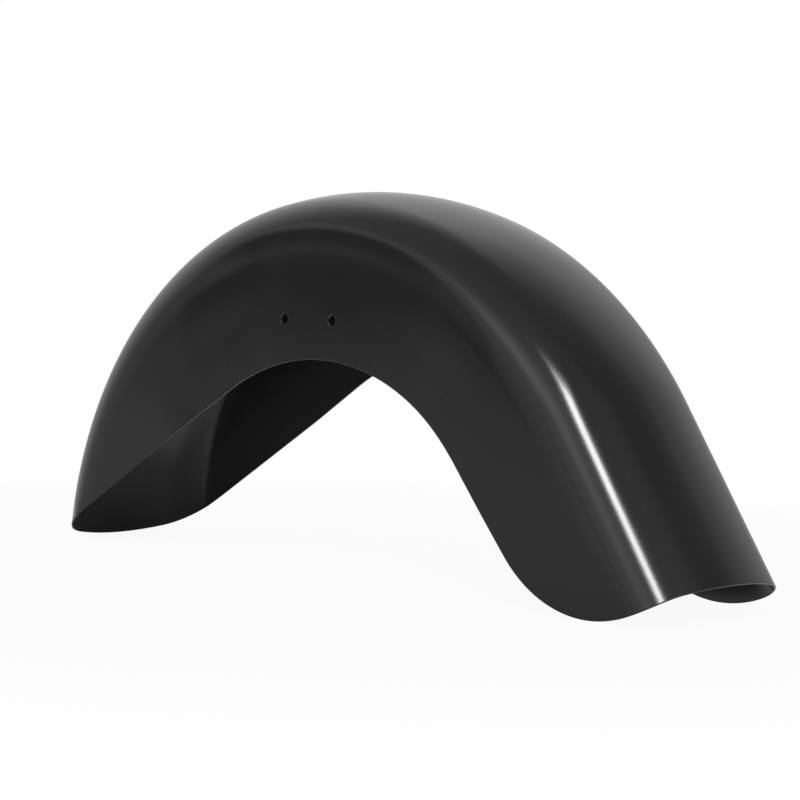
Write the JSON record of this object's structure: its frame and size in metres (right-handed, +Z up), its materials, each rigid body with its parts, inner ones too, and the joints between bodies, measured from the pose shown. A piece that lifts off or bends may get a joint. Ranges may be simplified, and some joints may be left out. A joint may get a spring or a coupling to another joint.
{
  "type": "motorcycle front fender",
  "caption": "Wide black sheet-steel front fender for a motorcycle, arched over the tyre with deep skirts, a straight rounded tail and bolt holes for the fork legs.",
  "frame": {"origin": "on the plane the fender stands on, under the middle of its outline", "axes": "+X to the rear of the motorcycle, along the fender's length; +Y to its right side, across the fender; +Z up, from the wheel to the crown"},
  "size_m": [0.7267, 0.156, 0.3132],
  "materials": {
    "black_coat": "semi-gloss black coat over pressed steel"
  },
  "bodies": {
    "root": {"fender": "black_coat"}
  },
  "joints": []
}
